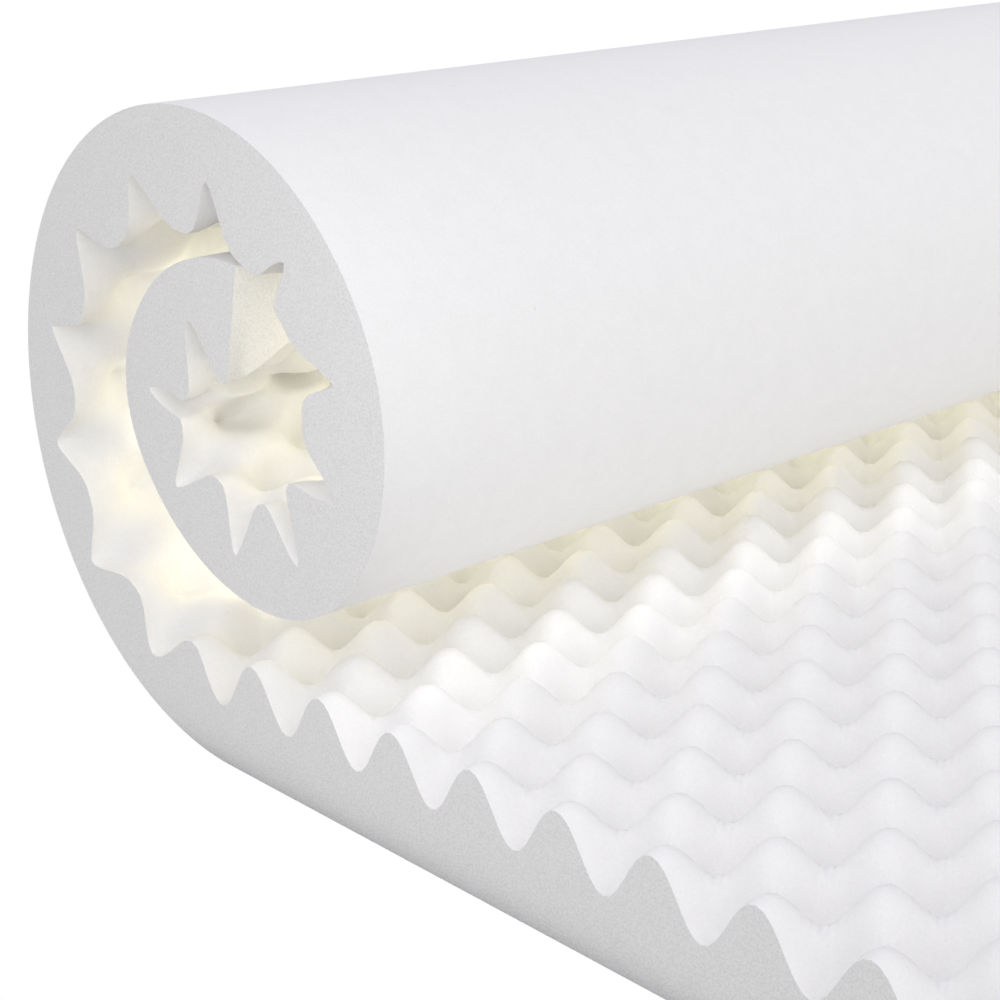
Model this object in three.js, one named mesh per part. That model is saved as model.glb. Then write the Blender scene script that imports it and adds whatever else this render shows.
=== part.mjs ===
// Mattress topper: one sheet of convoluted foam with its peaks upward, part laid flat and part rolled up.
// Millimetres, +Z up. The roll lies along Y, and the flat part runs out along +X from under it.
// The origin is the middle of the bottom of the bounding box.
import * as THREE from 'three';

// The sheet: peaks and valleys, set like the light and dark squares of a chequerboard.
const WAVE_LENGTH = 43;     // peak to peak along the flat sheet
const WAVE_WIDTH = 59;      // peak to peak across it
const WAVES_ACROSS = 15;
const EDGE = 5;             // from the outermost rows of peaks to the cut sides
const BASE = 24;            // solid foam under the valleys of the flat part
const RELIEF = 26;          // valley to peak
const FULLNESS = 0.8;       // under 1, the peaks are broad and the valleys narrow
const FLAT_WAVES = 28.45;   // from the cut end of the flat part to the foot of the roll
const BACK_FACETS = 2;      // facets of the back for each half wave

// The roll, from its foot to the cut end inside it, a row for each arc of the sheet's back:
//   radius  of the back, on the outside of the bend
//   turn    degrees through which the sheet bends
//   waves   how many lie along the arc, fewer to its length than on the flat because the back is stretched
//   base    foam under the valleys where the arc ends, thinner where the bend pulls it out
const ROLL = [
  { radius: 134, turn: 60, waves: 2.3, base: 12 },
  { radius: 134, turn: 60, waves: 2.3, base: 17 },
  { radius: 126, turn: 60, waves: 2.1, base: 20 },
  { radius: 120, turn: 60, waves: 1.9, base: 22 },
  { radius: 92, turn: 60, waves: 1.6, base: 21 },
  { radius: 74, turn: 60, waves: 1.4, base: 15 },
  { radius: 94, turn: 60, waves: 1.9, base: 11 },
  { radius: 51, turn: 60, waves: 0.9, base: 17 },
  { radius: 73, turn: 70, waves: 1.15, base: 22 },
];

const SHEET_WAVES = ROLL.reduce((sum, arc) => sum + arc.waves, FLAT_WAVES);
const HALF_WAVES_ALONG = Math.round(2 * SHEET_WAVES);
const HALF_WAVES_ACROSS = 2 * WAVES_ACROSS;

// The direction from the back to the peaks, in X and Z, where the sheet has bent through an angle.
const towardsPeaks = (angle) => new THREE.Vector2(Math.sin(angle), Math.cos(angle));

// The back of the sheet so many waves from its flat end: a point, the way to the peaks and the base there.
function backAt(wave) {
  const point = new THREE.Vector2(-Math.min(wave, FLAT_WAVES) * WAVE_LENGTH, 0);
  let angle = 0;
  let base = BASE;
  let left = wave - FLAT_WAVES;
  for (const arc of ROLL) {
    if (left <= 0) break;
    const share = Math.min(left / arc.waves, 1);
    point.addScaledVector(towardsPeaks(angle), arc.radius);
    angle += THREE.MathUtils.degToRad(arc.turn) * share;
    point.addScaledVector(towardsPeaks(angle), -arc.radius);
    base += (arc.base - base) * share;
    left -= arc.waves;
  }
  return { point, up: towardsPeaks(angle), base };
}

// The foam's thickness so many waves along and across the sheet.
function thicknessAt(wave, across) {
  const swell = Math.cos(2 * Math.PI * wave) * Math.cos(2 * Math.PI * across);
  return backAt(wave).base + RELIEF * ((1 + swell) / 2) ** FULLNESS;
}

// Where the rows of half waves lie across the sheet: the outermost two are the cut sides.
function acrossAt(row) {
  if (row === 0) return -EDGE / WAVE_WIDTH;
  if (row === HALF_WAVES_ACROSS) return WAVES_ACROSS + EDGE / WAVE_WIDTH;
  return row / 2;
}

// The sheet's closed surface, gathered vertex by vertex and triangle by triangle.
class Skin {
  positions = [];
  triangles = [];

  // A vertex so many waves along and across the sheet, at a height over its back.
  vertex(wave, across, height) {
    const { point, up } = backAt(wave);
    point.addScaledVector(up, height);
    return this.positions.push(point.x, across * WAVE_WIDTH, point.y) / 3 - 1;
  }

  // Triangles by their corners, counter-clockwise from outside or, turned about, clockwise.
  faces(corners, turned = false) {
    this.triangles.push(...(turned ? corners.toReversed() : corners));
  }

  geometry() {
    const geometry = new THREE.BufferGeometry();
    geometry.setAttribute('position', new THREE.Float32BufferAttribute(this.positions, 3));
    geometry.setIndex(this.triangles);
    return geometry;
  }
}

// The relief: a vertex on each peak and valley, and one on the saddle in the middle of every four.
function addRelief(skin) {
  const reliefVertex = (wave, across) => skin.vertex(wave, across, thicknessAt(wave, across));
  const rows = [];
  for (let i = 0; i <= HALF_WAVES_ALONG; i++) {
    rows.push([]);
    for (let k = 0; k <= HALF_WAVES_ACROSS; k++) {
      rows[i].push(reliefVertex(i / 2, acrossAt(k)));
    }
  }
  for (let i = 0; i < HALF_WAVES_ALONG; i++) {
    for (let k = 0; k < HALF_WAVES_ACROSS; k++) {
      const saddle = reliefVertex(i / 2 + 0.25, k / 2 + 0.25);
      const [a, b, c, d] = [rows[i][k], rows[i][k + 1], rows[i + 1][k + 1], rows[i + 1][k]];
      skin.faces([a, b, saddle, b, c, saddle, c, d, saddle, d, a, saddle]);
    }
  }
  return rows;
}

// The smooth back: a strip of facets from the near side to the far one.
function addBack(skin) {
  const near = [];
  const far = [];
  for (let j = 0; j <= HALF_WAVES_ALONG * BACK_FACETS; j++) {
    const wave = j / (2 * BACK_FACETS);
    near.push(skin.vertex(wave, acrossAt(0), 0));
    far.push(skin.vertex(wave, acrossAt(HALF_WAVES_ACROSS), 0));
  }
  for (let j = 1; j < near.length; j++) {
    skin.faces([near[j - 1], near[j], far[j], near[j - 1], far[j], far[j - 1]]);
  }
  return { near, far };
}

// A cut side: the near one or, turned about, the far one.
function addSide(skin, crest, foot, turned) {
  const middle = Math.floor(BACK_FACETS / 2);
  for (let i = 0; i < HALF_WAVES_ALONG; i++) {
    const first = i * BACK_FACETS;
    for (let j = 0; j < BACK_FACETS; j++) {
      const top = j < middle ? crest[i] : crest[i + 1];
      skin.faces([foot[first + j + 1], foot[first + j], top], turned);
    }
    skin.faces([foot[first + middle], crest[i], crest[i + 1]], turned);
  }
}

// The cut face across the flat end of the sheet or, turned about, across the end inside the roll.
function addEnd(skin, wave, crest, near, far, turned) {
  const corners = [...crest.toReversed(), near, far];
  const outline = crest.map((_, k) => {
    const across = acrossAt(k);
    return new THREE.Vector2(across * WAVE_WIDTH, thicknessAt(wave, across));
  });
  const sides = [outline[0].x, outline.at(-1).x];
  outline.reverse();
  sides.forEach((side) => outline.push(new THREE.Vector2(side, 0)));
  const faces = THREE.ShapeUtils.triangulateShape(outline, []);
  faces.forEach((face) => skin.faces(face.map((i) => corners[i]), turned));
}

function makeTopper() {
  const skin = new Skin();
  const rows = addRelief(skin);
  const { near, far } = addBack(skin);
  addSide(skin, rows.map((row) => row[0]), near, false);
  addSide(skin, rows.map((row) => row.at(-1)), far, true);
  addEnd(skin, 0, rows[0], near[0], far[0], false);
  addEnd(skin, HALF_WAVES_ALONG / 2, rows.at(-1), near.at(-1), far.at(-1), true);

  const geometry = skin.geometry();
  geometry.computeBoundingBox();
  const { min, max } = geometry.boundingBox;
  geometry.translate(-(min.x + max.x) / 2, -(min.y + max.y) / 2, -min.z);
  geometry.computeVertexNormals();

  const foam = new THREE.MeshStandardMaterial({ color: 0xf3f1ea, roughness: 0.95, metalness: 0 });
  const topper = new THREE.Mesh(geometry, foam);
  topper.name = 'topper';
  return topper;
}

const group = new THREE.Group();
group.add(makeTopper());

export default group;
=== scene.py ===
"""A mattress topper of convoluted foam, part laid flat and part rolled up, on a pale stage."""

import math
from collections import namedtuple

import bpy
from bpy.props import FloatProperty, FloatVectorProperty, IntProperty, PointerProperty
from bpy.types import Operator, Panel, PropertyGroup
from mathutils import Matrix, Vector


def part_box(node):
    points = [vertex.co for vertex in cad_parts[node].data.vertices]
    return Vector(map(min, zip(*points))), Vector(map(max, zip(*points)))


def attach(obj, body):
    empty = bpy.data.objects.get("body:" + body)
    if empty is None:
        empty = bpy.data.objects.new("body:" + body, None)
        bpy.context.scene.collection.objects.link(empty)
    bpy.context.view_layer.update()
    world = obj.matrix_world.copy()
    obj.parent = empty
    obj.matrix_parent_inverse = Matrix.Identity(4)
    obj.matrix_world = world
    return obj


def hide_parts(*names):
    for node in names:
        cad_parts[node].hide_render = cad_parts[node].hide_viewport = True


bl_info = {
    "name": "Convoluted foam topper",
    "version": (1, 0, 0),
    "blender": (4, 5, 0),
    "location": "View3D > Sidebar > Topper",
    "description": "Makes a half-rolled mattress topper of convoluted foam and a pale stage for it",
    "category": "Add Mesh",
}

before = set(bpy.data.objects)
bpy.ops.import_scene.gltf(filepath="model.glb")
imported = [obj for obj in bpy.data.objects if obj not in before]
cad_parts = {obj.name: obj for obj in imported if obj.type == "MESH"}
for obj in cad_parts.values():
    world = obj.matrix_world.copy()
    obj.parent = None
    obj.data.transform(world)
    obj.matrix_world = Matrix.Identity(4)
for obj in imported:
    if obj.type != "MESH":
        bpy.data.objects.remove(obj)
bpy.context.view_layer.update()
SHEET_LOW, SHEET_HIGH = (Vector(corner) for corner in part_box("topper"))

MM = 0.001
NODE = "topper"
BODY = "root"

# The roll, from its foot to the cut end inside it, a row for each arc of the sheet's back: its
# radius in mm, the degrees of the bend and the waves along it, then, at its end, the mm of foam
# under a valley and under a peak, the mm that a peak is pushed along the sheet and how blunt it is.
Arc = namedtuple("Arc", "radius turn waves base peak lean blunt")
ROLL = (
    Arc(radius=134, turn=60, waves=2.3, base=12.5, peak=32, lean=0, blunt=1.5),
    Arc(radius=134, turn=60, waves=2.3, base=20, peak=41, lean=-6, blunt=1.5),
    Arc(radius=126, turn=60, waves=2.1, base=23, peak=48, lean=7, blunt=1.5),
    Arc(radius=120, turn=30, waves=0.95, base=23, peak=44, lean=5, blunt=2.6),
    Arc(radius=120, turn=30, waves=0.95, base=24, peak=44, lean=-11, blunt=2.6),
    Arc(radius=92, turn=60, waves=1.6, base=22, peak=49, lean=1, blunt=1.6),
    Arc(radius=74, turn=60, waves=1.4, base=16, peak=44, lean=0, blunt=1.5),
    Arc(radius=94, turn=60, waves=1.9, base=12, peak=36.5, lean=0, blunt=1.5),
    Arc(radius=51, turn=60, waves=0.9, base=18, peak=42, lean=-4, blunt=1.4),
    Arc(radius=73, turn=70, waves=1.3, base=22, peak=48, lean=-3, blunt=1.4),
)


class SheetSizes(PropertyGroup):
    """The foam sheet: its relief and how finely it is drawn."""

    wave_length: FloatProperty(
        name="Wave length",
        description="Peak to peak along the flat sheet",
        default=43 * MM,
        unit="LENGTH",
    )
    wave_width: FloatProperty(
        name="Wave width",
        description="Peak to peak across the sheet",
        default=59 * MM,
        unit="LENGTH",
    )
    waves_across: IntProperty(
        name="Waves across",
        description="Waves between the outermost rows of peaks",
        default=15,
    )
    edge: FloatProperty(
        name="Edge",
        description="From the outermost rows of peaks to the cut sides",
        default=5 * MM,
        unit="LENGTH",
    )
    flat_waves: FloatProperty(
        name="Flat waves",
        description="Waves from the flat end to the foot of the roll",
        default=28.45,
    )
    base: FloatProperty(
        name="Base",
        description="Foam under the valleys of the flat part",
        default=24.5 * MM,
        unit="LENGTH",
    )
    peak: FloatProperty(
        name="Peak",
        description="Foam under the peaks of the flat part",
        default=50 * MM,
        unit="LENGTH",
    )
    spread: FloatProperty(
        name="Spread",
        description="Over 1, the valleys of the flat part are broad",
        default=1.1,
    )
    blunt: FloatProperty(
        name="Blunt",
        description="Over 1, the peaks of the flat part are blunt",
        default=1.2,
    )
    roll_spread: FloatProperty(
        name="Roll spread",
        description="Under 1, the valleys of the roll are creased",
        default=0.65,
    )
    slide: FloatProperty(
        name="Slide",
        description="How far the rows of the roll lie off those of the flat part",
        default=3.5 * MM,
        unit="LENGTH",
    )
    unevenness: FloatProperty(
        name="Unevenness",
        description="How far the cut of the relief wanders",
        default=0.7 * MM,
        unit="LENGTH",
    )
    steps_far: IntProperty(
        name="Steps, far",
        description="Facets to a wave far from the roll",
        default=6,
    )
    steps_flat: IntProperty(
        name="Steps, flat",
        description="Facets to a wave along the flat part",
        default=14,
    )
    steps_roll: IntProperty(
        name="Steps, roll",
        description="Facets to a wave along the roll",
        default=14,
    )
    steps_across: IntProperty(
        name="Steps across",
        description="Facets to a wave across the sheet",
        default=12,
    )


class FoamFinish(PropertyGroup):
    """The look of the foam."""

    colour: FloatVectorProperty(
        name="Colour",
        description="The foam's own colour",
        subtype="COLOR",
        size=3,
        default=(0.965, 0.96, 0.94),
    )
    deep_colour: FloatVectorProperty(
        name="Deep colour",
        description="Colour in the cells",
        subtype="COLOR",
        size=3,
        default=(0.82, 0.812, 0.788),
    )
    cell: FloatProperty(
        name="Cell",
        description="Size of the foam's cells",
        default=0.9 * MM,
        unit="LENGTH",
    )
    grain: FloatProperty(
        name="Grain",
        description="How much the cells show on the moulded faces",
        default=0.6,
    )
    cut_grain: FloatProperty(
        name="Cut grain",
        description="How much more they show on the cut faces",
        default=1.6,
    )
    mottle: FloatProperty(
        name="Mottle",
        description="Size of the foam's faint blotches",
        default=9 * MM,
        unit="LENGTH",
    )
    blotch: FloatProperty(
        name="Blotch",
        description="How much the blotches show",
        default=0.3,
    )
    pit_gap: FloatProperty(
        name="Pit gap",
        description="Between the pits in the back",
        default=30 * MM,
        unit="LENGTH",
    )
    pit: FloatProperty(
        name="Pit",
        description="Half the width of a pit",
        default=0.8 * MM,
        unit="LENGTH",
    )
    roughness: FloatProperty(
        name="Roughness",
        description="Roughness of the foam",
        default=0.95,
        subtype="FACTOR",
    )


class StageSettings(PropertyGroup):
    """The camera, the light and the floor."""

    camera_place: FloatVectorProperty(
        name="Camera place",
        description="Where the camera stands",
        subtype="TRANSLATION",
        size=3,
        default=(0.0748, -0.8510, 0.3509),
    )
    heading: FloatProperty(
        name="Heading",
        description="Turn of the view from +Y towards -X",
        default=math.radians(48.23),
        unit="ROTATION",
    )
    dip: FloatProperty(
        name="Dip",
        description="How far the view looks down",
        default=math.radians(18.24),
        unit="ROTATION",
    )
    bank: FloatProperty(
        name="Bank",
        description="Turn of the camera about its view",
        default=math.radians(-1.5),
        unit="ROTATION",
    )
    lens: FloatProperty(
        name="Lens",
        description="Focal length in mm",
        default=71.5,
    )
    key: FloatProperty(
        name="Key",
        description="Strength of the soft light from the right",
        default=0.36,
    )
    fill: FloatProperty(
        name="Fill",
        description="Power of the soft light in front of the roll",
        default=0.07,
    )
    light_colour: FloatVectorProperty(
        name="Light colour",
        description="Tint of the studio light",
        subtype="COLOR",
        size=3,
        default=(0.97, 0.97, 1.0),
    )


class Value:
    """A node's output, with arithmetic: an expression on values adds its Math nodes."""

    def __init__(self, nodes, socket):
        self.nodes = nodes
        self.socket = socket

    def math(self, operation, *others):
        operands = dict(enumerate((self, *others)))
        return self.nodes.add("ShaderNodeMath", {"operation": operation}, operands)

    def __add__(self, other):
        return self.math("ADD", other)

    def __radd__(self, other):
        return self.math("ADD", other)

    def __sub__(self, other):
        return self.math("SUBTRACT", other)

    def __rsub__(self, other):
        return (self * -1).math("ADD", other)

    def __mul__(self, other):
        return self.math("MULTIPLY", other)

    def __rmul__(self, other):
        return self.math("MULTIPLY", other)

    def __truediv__(self, other):
        return self.math("DIVIDE", other)

    def __pow__(self, other):
        return self.math("POWER", other)

    def __mod__(self, other):
        return self.math("FLOORED_MODULO", other)

    def __gt__(self, other):
        return self.math("GREATER_THAN", other)

    def __lt__(self, other):
        return self.math("LESS_THAN", other)

    def floor(self):
        return self.math("FLOOR")

    def at_least(self, other):
        return self.math("MAXIMUM", other)

    def at_most(self, other):
        return self.math("MINIMUM", other)

    def wave(self):
        """The cosine of so many whole turns."""
        return (self * math.tau).math("COSINE")


class Nodes:
    """Adds nodes to one tree."""

    def __init__(self, tree):
        self.tree = tree

    def add(self, kind, settings=None, sockets=None, output=0):
        """A node of a kind, with its settings and its sockets' values or links: one of its outputs."""
        node = self.tree.nodes.new(kind)
        for name, value in (settings or {}).items():
            setattr(node, name, value)
        for name, value in (sockets or {}).items():
            self.feed(node.inputs[name], value)
        return Value(self, node.outputs[output]) if node.outputs else node

    def feed(self, socket, value):
        """Link a socket to a value or to each of a list of values, or set it to a plain number."""
        if isinstance(value, (list, tuple)) and value and isinstance(value[0], Value):
            for item in value:
                self.tree.links.new(item.socket, socket)
        elif isinstance(value, Value):
            self.tree.links.new(value.socket, socket)
        else:
            socket.default_value = value


Station = namedtuple("Station", "point up wave base peak lean blunt rolled")
COARSE_WAVES = 12
CROWDING = 0.5
LEAST_STEP = 0.02


def back_stations(sheet):
    """The stations of the sheet's back, from its flat end to the end inside the roll."""
    end = sheet.flat_waves + sum(arc.waves for arc in ROLL)
    waves = [i / sheet.steps_far for i in range(COARSE_WAVES * sheet.steps_far)]
    waves += steps_between(COARSE_WAVES, sheet.flat_waves, sheet.steps_flat, 0)
    waves += steps_between(sheet.flat_waves, end, sheet.steps_roll, CROWDING)
    return [back_at(wave, sheet) for wave in (*waves, end)]


def steps_between(start, end, steps, crowding):
    """Stations from one place to another, on each peak and valley and crowded to the valleys."""
    turns = [i / steps for i in range(math.floor(start) * steps, math.ceil(end) * steps)]
    waves = [turn + crowding / math.tau * math.sin(math.tau * turn) for turn in turns]
    return [start] + [wave for wave in waves if start + LEAST_STEP < wave < end - LEAST_STEP]


def back_at(wave, sheet):
    """One station of the back, so many waves from the flat end."""
    flat_length = min(wave, sheet.flat_waves) * sheet.wave_length
    point = Vector((SHEET_HIGH.x - flat_length, 0, SHEET_LOW.z))
    angle = 0.0
    base, peak, lean, blunt = sheet.base, sheet.peak, 0.0, sheet.blunt
    left = wave - sheet.flat_waves
    for arc in ROLL:
        if left <= 0:
            break
        share = min(left / arc.waves, 1)
        point += towards_peaks(angle) * arc.radius * MM
        angle += math.radians(arc.turn) * share
        point -= towards_peaks(angle) * arc.radius * MM
        base += (arc.base * MM - base) * share
        peak += (arc.peak * MM - peak) * share
        lean += (arc.lean * MM - lean) * share
        blunt += (arc.blunt - blunt) * share
        left -= arc.waves
    rolled = smooth_step((wave - sheet.flat_waves) / ROLL[0].waves)
    return Station(point, towards_peaks(angle), wave, base, peak, lean, blunt, rolled)


def smooth_step(share):
    share = min(max(share, 0), 1)
    return share * share * (3 - 2 * share)


def towards_peaks(angle):
    return Vector((math.sin(angle), 0, math.cos(angle)))


def back_line(sheet):
    """A line of vertices along the sheet's back, which carries what the sheet's tree reads there."""
    stations = back_stations(sheet)
    mesh = bpy.data.meshes.new("back_line")
    links = [(i, i + 1) for i in range(len(stations) - 1)]
    mesh.from_pydata([s.point for s in stations], links, [])
    ups = mesh.attributes.new("up", "FLOAT_VECTOR", "POINT")
    ups.data.foreach_set("vector", [part for s in stations for part in s.up])
    for name in ("wave", "base", "peak", "lean", "blunt", "rolled"):
        carried = mesh.attributes.new(name, "FLOAT", "POINT")
        carried.data.foreach_set("value", [getattr(s, name) for s in stations])
    return mesh


SHEET_INPUTS = {
    "Steps across": "NodeSocketInt",
    "Wave width": "NodeSocketFloat",
    "Waves across": "NodeSocketInt",
    "Edge": "NodeSocketFloat",
    "Slide": "NodeSocketFloat",
    "Spread": "NodeSocketFloat",
    "Roll spread": "NodeSocketFloat",
    "Unevenness": "NodeSocketFloat",
    "Foam": "NodeSocketMaterial",
}
MERGE_DISTANCE = 0.02 * MM
UNEVEN_SCALE = 1.3
UNEVEN_DETAIL = 1.0
CREASE = math.radians(50)
ALL_INSIDE = 0.9


def sheet_tree():
    """A tree that lays a closed sheet with a waved face along a line of vertices."""
    tree = bpy.data.node_groups.new("convoluted_sheet", "GeometryNodeTree")
    tree.interface.new_socket("Back line", in_out="INPUT", socket_type="NodeSocketGeometry")
    for name, kind in SHEET_INPUTS.items():
        tree.interface.new_socket(name, in_out="INPUT", socket_type=kind)
    tree.interface.new_socket("Sheet", in_out="OUTPUT", socket_type="NodeSocketGeometry")

    nodes = Nodes(tree)
    entry = tree.nodes.new("NodeGroupInput")
    given = {socket.name: Value(nodes, socket) for socket in entry.outputs}
    line = given["Back line"]
    stations = nodes.add(
        "GeometryNodeAttributeDomainSize", {"component": "MESH"}, {"Geometry": line}
    )
    # One row more than there are steps, and one for each cut side.
    rows = given["Waves across"] * given["Steps across"] + 3

    relief = relief_face(nodes, given, line, stations, rows)
    back = back_face(nodes, given, line, stations, rows)
    joined = nodes.add("GeometryNodeJoinGeometry", sockets={"Geometry": [back, relief]})
    closed = nodes.add(
        "GeometryNodeMergeByDistance",
        sockets={"Geometry": joined, "Distance": MERGE_DISTANCE},
    )
    smooth = nodes.add(
        "GeometryNodeSetShadeSmooth", sockets={"Geometry": closed, "Shade Smooth": True}
    )
    angle = nodes.add("GeometryNodeInputMeshEdgeAngle")
    creased = nodes.add(
        "GeometryNodeSetShadeSmooth",
        {"domain": "EDGE"},
        {"Geometry": smooth, "Selection": angle > CREASE, "Shade Smooth": False},
    )
    realized = nodes.add("GeometryNodeRealizeInstances", sockets={"Geometry": creased})
    finished = nodes.add(
        "GeometryNodeSetMaterial", sockets={"Geometry": realized, "Material": given["Foam"]}
    )
    leave = tree.nodes.new("NodeGroupOutput")
    tree.links.new(finished.socket, leave.inputs["Sheet"])
    return tree


def along_line(nodes, line, station, name, kind):
    """What the line carries at a station, or its position there."""
    if name == "position":
        carried = nodes.add("GeometryNodeInputPosition")
    else:
        carried = nodes.add("GeometryNodeInputNamedAttribute", {"data_type": kind}, {"Name": name})
    return nodes.add(
        "GeometryNodeSampleIndex",
        {"data_type": kind, "domain": "POINT"},
        {"Geometry": line, "Value": carried, "Index": station},
    )


# Rows, columns and stations are whole numbers, so they are compared with halves.
def row_place(given, row, rows):
    """Waves across the sheet to a row: the first and the last are the cut sides."""
    margin = given["Edge"] / given["Wave width"]
    place = ((row - 1) / given["Steps across"]).at_least(0).at_most(given["Waves across"])
    return place + margin * ((row > rows - 1.5) - (row < 0.5))


def placed(nodes, grid, given, point, across):
    """A grid whose vertices are set at points of the sheet's section, so many waves across."""
    side = (across - given["Waves across"] / 2) * given["Wave width"]
    sideways = nodes.add("ShaderNodeCombineXYZ", sockets={"Y": side})
    spot = nodes.add("ShaderNodeVectorMath", {"operation": "ADD"}, {0: point, 1: sideways})
    return nodes.add("GeometryNodeSetPosition", sockets={"Geometry": grid, "Position": spot})


def marked(nodes, face, name, value):
    """A face of the sheet with a number stored on its facets, for the material."""
    return nodes.add(
        "GeometryNodeStoreNamedAttribute",
        {"data_type": "FLOAT", "domain": "FACE"},
        {"Geometry": face, "Name": name, "Value": value},
    )


def relief_face(nodes, given, line, stations, rows):
    """The waved face and, as a rim of its grid folded down to the back, the four cut faces."""
    grid = nodes.add(
        "GeometryNodeMeshGrid", sockets={"Vertices X": stations + 2, "Vertices Y": rows + 2}
    )
    index = nodes.add("GeometryNodeInputIndex")
    column = (index / (rows + 2)).floor()
    row = index % (rows + 2)
    inside = (column > 0.5) * (column < stations + 0.5) * (row > 0.5) * (row < rows + 0.5)
    station = (column - 1).at_least(0).at_most(stations - 1)
    across = row_place(given, (row - 1).at_least(0).at_most(rows - 1), rows)

    point = along_line(nodes, line, station, "position", "FLOAT_VECTOR")
    up = along_line(nodes, line, station, "up", "FLOAT_VECTOR")
    wave, base, peak, lean, blunt, rolled = (
        along_line(nodes, line, station, name, "FLOAT")
        for name in ("wave", "base", "peak", "lean", "blunt", "rolled")
    )
    row_wave = across + rolled * given["Slide"] / given["Wave width"]
    swell = (wave.wave() * row_wave.wave() + 1) / 2
    spread = given["Spread"] + rolled * (given["Roll spread"] - given["Spread"])
    body = 1 - (1 - swell ** spread).at_least(0) ** blunt
    spot = nodes.add("ShaderNodeCombineXYZ", sockets={"X": wave, "Y": across})
    drift = nodes.add(
        "ShaderNodeTexNoise",
        {"noise_dimensions": "3D"},
        {"Vector": spot, "Scale": UNEVEN_SCALE, "Detail": UNEVEN_DETAIL},
    )
    uneven = (drift - 0.5) * given["Unevenness"] * swell
    height = (base + body * (peak - base) + uneven) * inside
    onward = nodes.add(
        "ShaderNodeVectorMath", {"operation": "CROSS_PRODUCT"}, {0: up, 1: (0, 1, 0)}
    )
    raised = nodes.add(
        "ShaderNodeVectorMath", {"operation": "MULTIPLY_ADD"}, {0: up, 1: height, 2: point}
    )
    pushed = nodes.add(
        "ShaderNodeVectorMath",
        {"operation": "MULTIPLY_ADD"},
        {0: onward, 1: lean * body * inside, 2: raised},
    )
    face = placed(nodes, grid, given, pushed, across)
    outward = nodes.add("GeometryNodeFlipFaces", sockets={"Mesh": face})
    # Taken on the vertices, so that a facet's share of them that are inside tells the cut faces.
    share = nodes.add(
        "GeometryNodeFieldOnDomain", {"data_type": "FLOAT", "domain": "POINT"}, {"Value": inside}
    )
    return marked(nodes, outward, "cut", share < ALL_INSIDE)


def back_face(nodes, given, line, stations, rows):
    """The smooth back. Between its ends the rows are drawn to the sides, so merging leaves strips."""
    grid = nodes.add("GeometryNodeMeshGrid", sockets={"Vertices X": stations, "Vertices Y": rows})
    index = nodes.add("GeometryNodeInputIndex")
    station = (index / rows).floor()
    row = index % rows
    at_end = 1 - (station > 0.5) * (station < stations - 1.5)
    far_half = row > rows / 2
    kept_row = row * at_end + far_half * (rows - 1) * (1 - at_end)
    across = row_place(given, kept_row, rows)
    point = along_line(nodes, line, station, "position", "FLOAT_VECTOR")
    return marked(nodes, placed(nodes, grid, given, point, across), "back", 1.0)


MEAN_SHADE = 0.25
PIT_SHADE = 0.6
GRAIN_DETAIL = 2.0
MOTTLE_DETAIL = 3.0
BUMP = 0.2
SHEEN = 0.1


def foam_material(finish):
    """Open-cell foam: pale and matt, with a grain that shows most where it is cut, and a mottle."""
    material = bpy.data.materials.new("pale_foam")
    material.use_nodes = True
    material.node_tree.nodes.clear()
    nodes = Nodes(material.node_tree)
    place = nodes.add("ShaderNodeTexCoord", output="Object")
    cut = nodes.add("ShaderNodeAttribute", {"attribute_name": "cut"}, output="Fac")
    back = nodes.add("ShaderNodeAttribute", {"attribute_name": "back"}, output="Fac")

    grain = uneven_shade(nodes, place, finish.cell, GRAIN_DETAIL)
    mottle = uneven_shade(nodes, place, finish.mottle, MOTTLE_DETAIL)
    nearest = nodes.add(
        "ShaderNodeTexVoronoi", sockets={"Vector": place, "Scale": 1 / finish.pit_gap}
    )
    pits = back * (nearest < finish.pit / finish.pit_gap)

    shown = grain * (finish.grain + cut * finish.cut_grain)
    shade = shown + mottle * finish.blotch + pits * PIT_SHADE + MEAN_SHADE
    colour = nodes.add(
        "ShaderNodeMix",
        {"data_type": "RGBA", "clamp_factor": True},
        {"Factor": shade, 6: (*finish.colour, 1.0), 7: (*finish.deep_colour, 1.0)},
        output=2,
    )
    bump = nodes.add(
        "ShaderNodeBump",
        sockets={"Strength": BUMP, "Distance": finish.cell / 2, "Height": grain * (1 + cut)},
    )
    surface = nodes.add(
        "ShaderNodeBsdfPrincipled",
        sockets={
            "Base Color": colour,
            "Roughness": finish.roughness,
            "Specular IOR Level": SHEEN,
            "Normal": bump,
        },
    )
    nodes.add("ShaderNodeOutputMaterial", sockets={"Surface": surface})
    return material


def uneven_shade(nodes, place, size, detail):
    """A noise of a size that swings about nought."""
    noise = nodes.add(
        "ShaderNodeTexNoise", sockets={"Vector": place, "Scale": 1 / size, "Detail": detail}
    )
    return noise - 0.5


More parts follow.
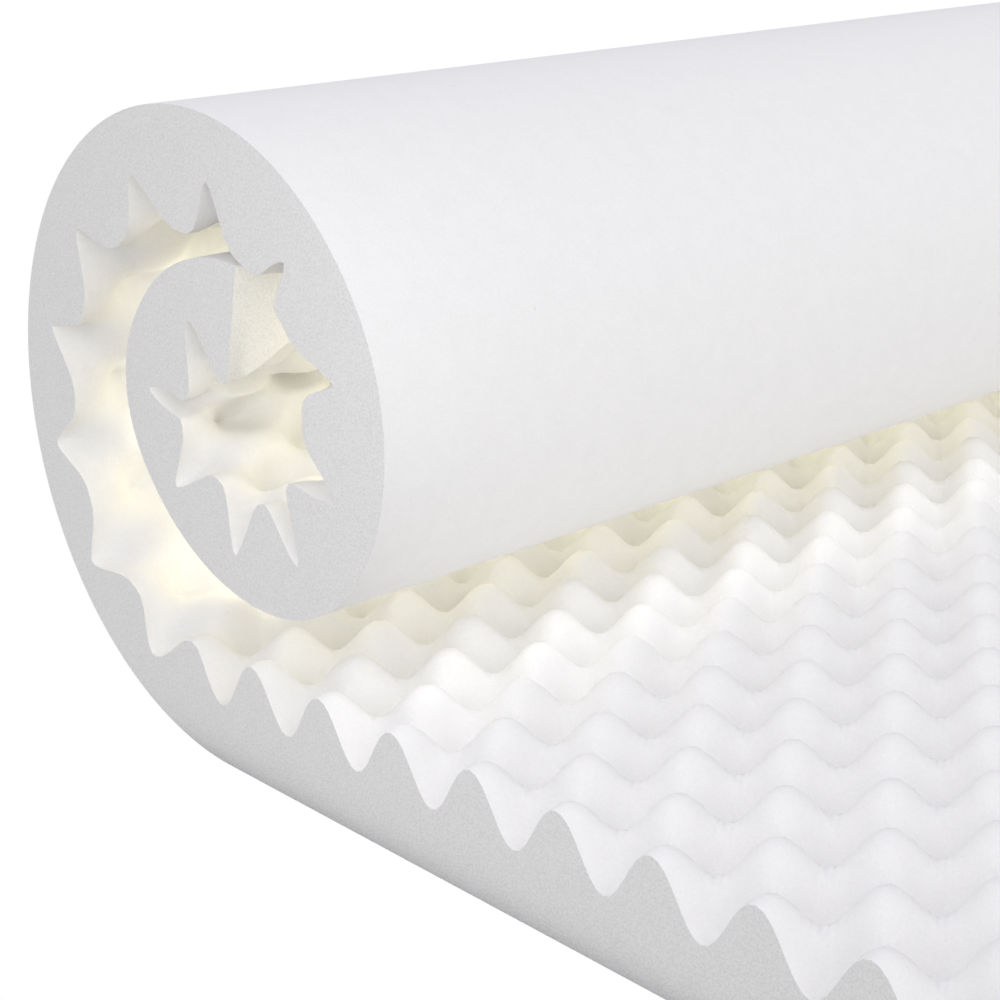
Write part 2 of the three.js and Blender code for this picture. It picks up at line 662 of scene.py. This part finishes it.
class TOPPER_OT_sheet(Operator):
    """Make the foam sheet, flat at one end and rolled up at the other"""

    bl_idname = "topper.make_sheet"
    bl_label = "Make the foam sheet"

    def execute(self, context):
        sheet = context.scene.topper_sheet
        foam = foam_material(context.scene.topper_foam)
        guide = bpy.data.objects.new("back_line", back_line(sheet))
        context.collection.objects.link(guide)
        lay = guide.modifiers.new("lay_sheet", "NODES")
        lay.node_group = sheet_tree()
        values = {
            "Steps across": sheet.steps_across,
            "Wave width": sheet.wave_width,
            "Waves across": sheet.waves_across,
            "Edge": sheet.edge,
            "Slide": sheet.slide,
            "Spread": sheet.spread,
            "Roll spread": sheet.roll_spread,
            "Unevenness": sheet.unevenness,
            "Foam": foam,
        }
        for item in lay.node_group.interface.items_tree:
            if item.name in values:
                lay[item.identifier] = values[item.name]
        drawn = guide.evaluated_get(context.evaluated_depsgraph_get())
        mesh = bpy.data.meshes.new_from_object(drawn)
        bpy.data.objects.remove(guide)

        # The line brings an empty slot of its own, so the foam is made the only one.
        mesh.name = "foam_sheet"
        mesh.materials.clear()
        mesh.materials.append(foam)
        topper = bpy.data.objects.new("foam_sheet", mesh)
        context.collection.objects.link(topper)
        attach(topper, BODY)
        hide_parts(NODE)
        return {"FINISHED"}


# Light that comes through the foam into the roll and under it, as strips along the roll: where each
# lies and where it points, in waves along the sheet and mm from its back, how far its ends are from
# the cut sides and how wide it is, both in mm, its power and its tint.
Glow = namedtuple("Glow", "wave height to_wave to_height inset width power tint")
CREAM = (1.0, 0.95, 0.75)
PALE = (1.0, 0.99, 0.98)
GLOWS = (
    Glow(25.6, 56, to_wave=38.6, to_height=0, inset=5, width=30, power=0.014, tint=PALE),
    Glow(26.5, 84, to_wave=26.5, to_height=0, inset=5, width=20, power=0.05, tint=PALE),
    Glow(28.1, 65, to_wave=28.1, to_height=0, inset=5, width=26, power=0.031, tint=CREAM),
    Glow(30, 62, to_wave=30, to_height=0, inset=30, width=16, power=0.12, tint=CREAM),
    Glow(31.5, 54, to_wave=31.5, to_height=0, inset=30, width=16, power=0.12, tint=CREAM),
    Glow(33, 56, to_wave=33, to_height=0, inset=30, width=16, power=0.065, tint=CREAM),
    Glow(34.5, 56, to_wave=34.5, to_height=0, inset=15, width=12, power=0.05, tint=CREAM),
    Glow(37.6, 48, to_wave=44.1, to_height=25, inset=30, width=8, power=0.15, tint=CREAM),
    Glow(40.5, 70, to_wave=40.5, to_height=0, inset=20, width=10, power=0.07, tint=CREAM),
)
ALONG_ROLL = Vector((0, 1, 0))

# The sides that the studio's soft light comes from: the way to each, its strength and its tint.
Side = namedtuple("Side", "way strength tint")
SIDES = (
    Side(way=(1, 0, 0), strength=0.74, tint=(1.0, 0.995, 0.99)),
    Side(way=(-1, 0, 0), strength=0.45, tint=(1.0, 0.99, 0.96)),
    Side(way=(0, -1, 0), strength=0.32, tint=(0.97, 0.96, 1.0)),
    Side(way=(0, 0, 1), strength=0.78, tint=(0.905, 0.9, 1.0)),
)

# The floor is only for the eye. A dark card on it, which reaches out from the low cut side, keeps
# light off that side.
FLOOR_HALF = 200.0
FLOOR_DROP = 0.2 * MM
CARD_REACH = 9 * MM
KEY_WAY = Vector((-0.85, 0.45, -0.32))
KEY_ANGLE = math.radians(50)
FILL_PLACE = Vector((-0.36, -0.62, 0.24))
FILL_TO = Vector((-0.46, -0.4475, 0.16))
FILL_SIZE = 0.15
SENSOR_WIDTH = 36.0
CLIP_START = 0.01


class TOPPER_OT_stage(Operator):
    """Make the pale floor, the soft light and the camera"""

    bl_idname = "topper.make_stage"
    bl_label = "Make the stage"

    def execute(self, context):
        stage = context.scene.topper_stage
        self.make_floor(context)
        self.make_sky(context)
        self.make_lamps(context, stage)
        self.make_glow(context)
        self.make_camera(context, stage)
        return {"FINISHED"}

    def make_floor(self, context):
        low = (-FLOOR_HALF, -FLOOR_HALF)
        high = (FLOOR_HALF, FLOOR_HALF)
        floor = self.make_plane(context, "floor", low, high, 1.0)
        floor.visible_diffuse = False
        floor.visible_shadow = False
        low = (SHEET_LOW.x, SHEET_LOW.y - CARD_REACH)
        high = (SHEET_HIGH.x, SHEET_LOW.y)
        card = self.make_plane(context, "card", low, high, 0.0)
        card.visible_camera = False

    @staticmethod
    def make_plane(context, name, low, high, glow):
        """A plane at the floor's level, black but for its glow."""
        mesh = bpy.data.meshes.new(name)
        corners = ((low[0], low[1]), (high[0], low[1]), (high[0], high[1]), (low[0], high[1]))
        mesh.from_pydata([(x, y, -FLOOR_DROP) for x, y in corners], [], [(0, 1, 2, 3)])
        material = bpy.data.materials.new(name)
        material.use_nodes = True
        surface = material.node_tree.nodes["Principled BSDF"]
        surface.inputs["Base Color"].default_value = (0.0, 0.0, 0.0, 1.0)
        surface.inputs["Roughness"].default_value = 1.0
        surface.inputs["Specular IOR Level"].default_value = 0.0
        surface.inputs["Emission Color"].default_value = (1.0, 1.0, 1.0, 1.0)
        surface.inputs["Emission Strength"].default_value = glow
        mesh.materials.append(material)
        plane = bpy.data.objects.new(name, mesh)
        context.collection.objects.link(plane)
        return plane

    @staticmethod
    def make_sky(context):
        """A soft light from each side, strongest straight from it."""
        world = bpy.data.worlds.new("studio")
        world.use_nodes = True
        world.node_tree.nodes.clear()
        nodes = Nodes(world.node_tree)
        way = nodes.add("ShaderNodeTexCoord", output="Generated")
        sky = None
        for side in SIDES:
            towards = nodes.add(
                "ShaderNodeVectorMath", {"operation": "DOT_PRODUCT"}, {0: way, 1: side.way}, "Value"
            )
            strength = towards.at_least(0) * side.strength
            lit = nodes.add(
                "ShaderNodeBackground",
                sockets={"Color": (*side.tint, 1.0), "Strength": strength},
            )
            sky = nodes.add("ShaderNodeAddShader", sockets={0: sky, 1: lit}) if sky else lit
        nodes.add("ShaderNodeOutputWorld", sockets={"Surface": sky})
        context.scene.world = world
        context.scene.view_settings.view_transform = "Standard"

    @staticmethod
    def make_lamps(context, stage):
        """The key from the right and the small fill in front of the roll's end."""
        light = bpy.data.lights.new("soft_key", "SUN")
        light.energy = stage.key
        light.color = stage.light_colour
        light.angle = KEY_ANGLE
        key = bpy.data.objects.new("soft_key", light)
        key.rotation_euler = KEY_WAY.to_track_quat("-Z", "Y").to_euler()
        context.collection.objects.link(key)

        light = bpy.data.lights.new("soft_fill", "AREA")
        light.shape = "DISK"
        light.size = FILL_SIZE
        light.energy = stage.fill
        light.color = stage.light_colour
        fill = bpy.data.objects.new("soft_fill", light)
        fill.location = FILL_PLACE
        fill.rotation_euler = (FILL_TO - FILL_PLACE).to_track_quat("-Z", "Y").to_euler()
        fill.visible_camera = False
        context.collection.objects.link(fill)

    def make_glow(self, context):
        sheet = context.scene.topper_sheet
        width = SHEET_HIGH.y - SHEET_LOW.y
        for glow in GLOWS:
            spot = self.above(glow.wave, glow.height, sheet)
            back = (spot - self.above(glow.to_wave, glow.to_height, sheet)).normalized()
            light = bpy.data.lights.new("glow", "AREA")
            light.energy = glow.power
            light.color = glow.tint
            light.shape = "RECTANGLE"
            light.size = glow.width * MM
            light.size_y = width - 2 * glow.inset * MM
            lamp = bpy.data.objects.new("glow", light)
            turn = Matrix((ALONG_ROLL.cross(back), ALONG_ROLL, back)).transposed().to_4x4()
            lamp.matrix_world = Matrix.Translation(spot) @ turn
            lamp.visible_camera = False
            context.collection.objects.link(lamp)

    @staticmethod
    def above(wave, height, sheet):
        """A place over the sheet's back, so many waves from the flat end."""
        station = back_at(wave, sheet)
        return station.point + station.up * height * MM

    @staticmethod
    def make_camera(context, stage):
        data = bpy.data.cameras.new("camera")
        data.lens = stage.lens
        data.sensor_width = SENSOR_WIDTH
        data.clip_start = CLIP_START
        camera = bpy.data.objects.new("camera", data)
        turn = Matrix.Rotation(stage.heading, 4, "Z")
        tilt = Matrix.Rotation(math.pi / 2 - stage.dip, 4, "X")
        bank = Matrix.Rotation(stage.bank, 4, "Z")
        camera.matrix_world = Matrix.Translation(stage.camera_place) @ turn @ tilt @ bank
        context.collection.objects.link(camera)
        context.scene.camera = camera


class TOPPER_PT_panel(Panel):
    """The topper's sizes, finish and stage"""

    bl_idname = "TOPPER_PT_panel"
    bl_label = "Convoluted foam topper"
    bl_space_type = "VIEW_3D"
    bl_region_type = "UI"
    bl_category = "Topper"

    def draw(self, context):
        scene = context.scene
        for group in (scene.topper_sheet, scene.topper_foam, scene.topper_stage):
            box = self.layout.box()
            for name in group.bl_rna.properties.keys():
                if name not in ("rna_type", "name"):
                    box.prop(group, name)
        self.layout.operator(TOPPER_OT_sheet.bl_idname)
        self.layout.operator(TOPPER_OT_stage.bl_idname)


CLASSES = (
    SheetSizes,
    FoamFinish,
    StageSettings,
    TOPPER_OT_sheet,
    TOPPER_OT_stage,
    TOPPER_PT_panel,
)


def register():
    for cls in CLASSES:
        bpy.utils.register_class(cls)
    bpy.types.Scene.topper_sheet = PointerProperty(type=SheetSizes)
    bpy.types.Scene.topper_foam = PointerProperty(type=FoamFinish)
    bpy.types.Scene.topper_stage = PointerProperty(type=StageSettings)


def unregister():
    del bpy.types.Scene.topper_stage
    del bpy.types.Scene.topper_foam
    del bpy.types.Scene.topper_sheet
    for cls in reversed(CLASSES):
        bpy.utils.unregister_class(cls)


def main():
    register()
    bpy.ops.topper.make_sheet()
    bpy.ops.topper.make_stage()


if __name__ == "__main__":
    main()
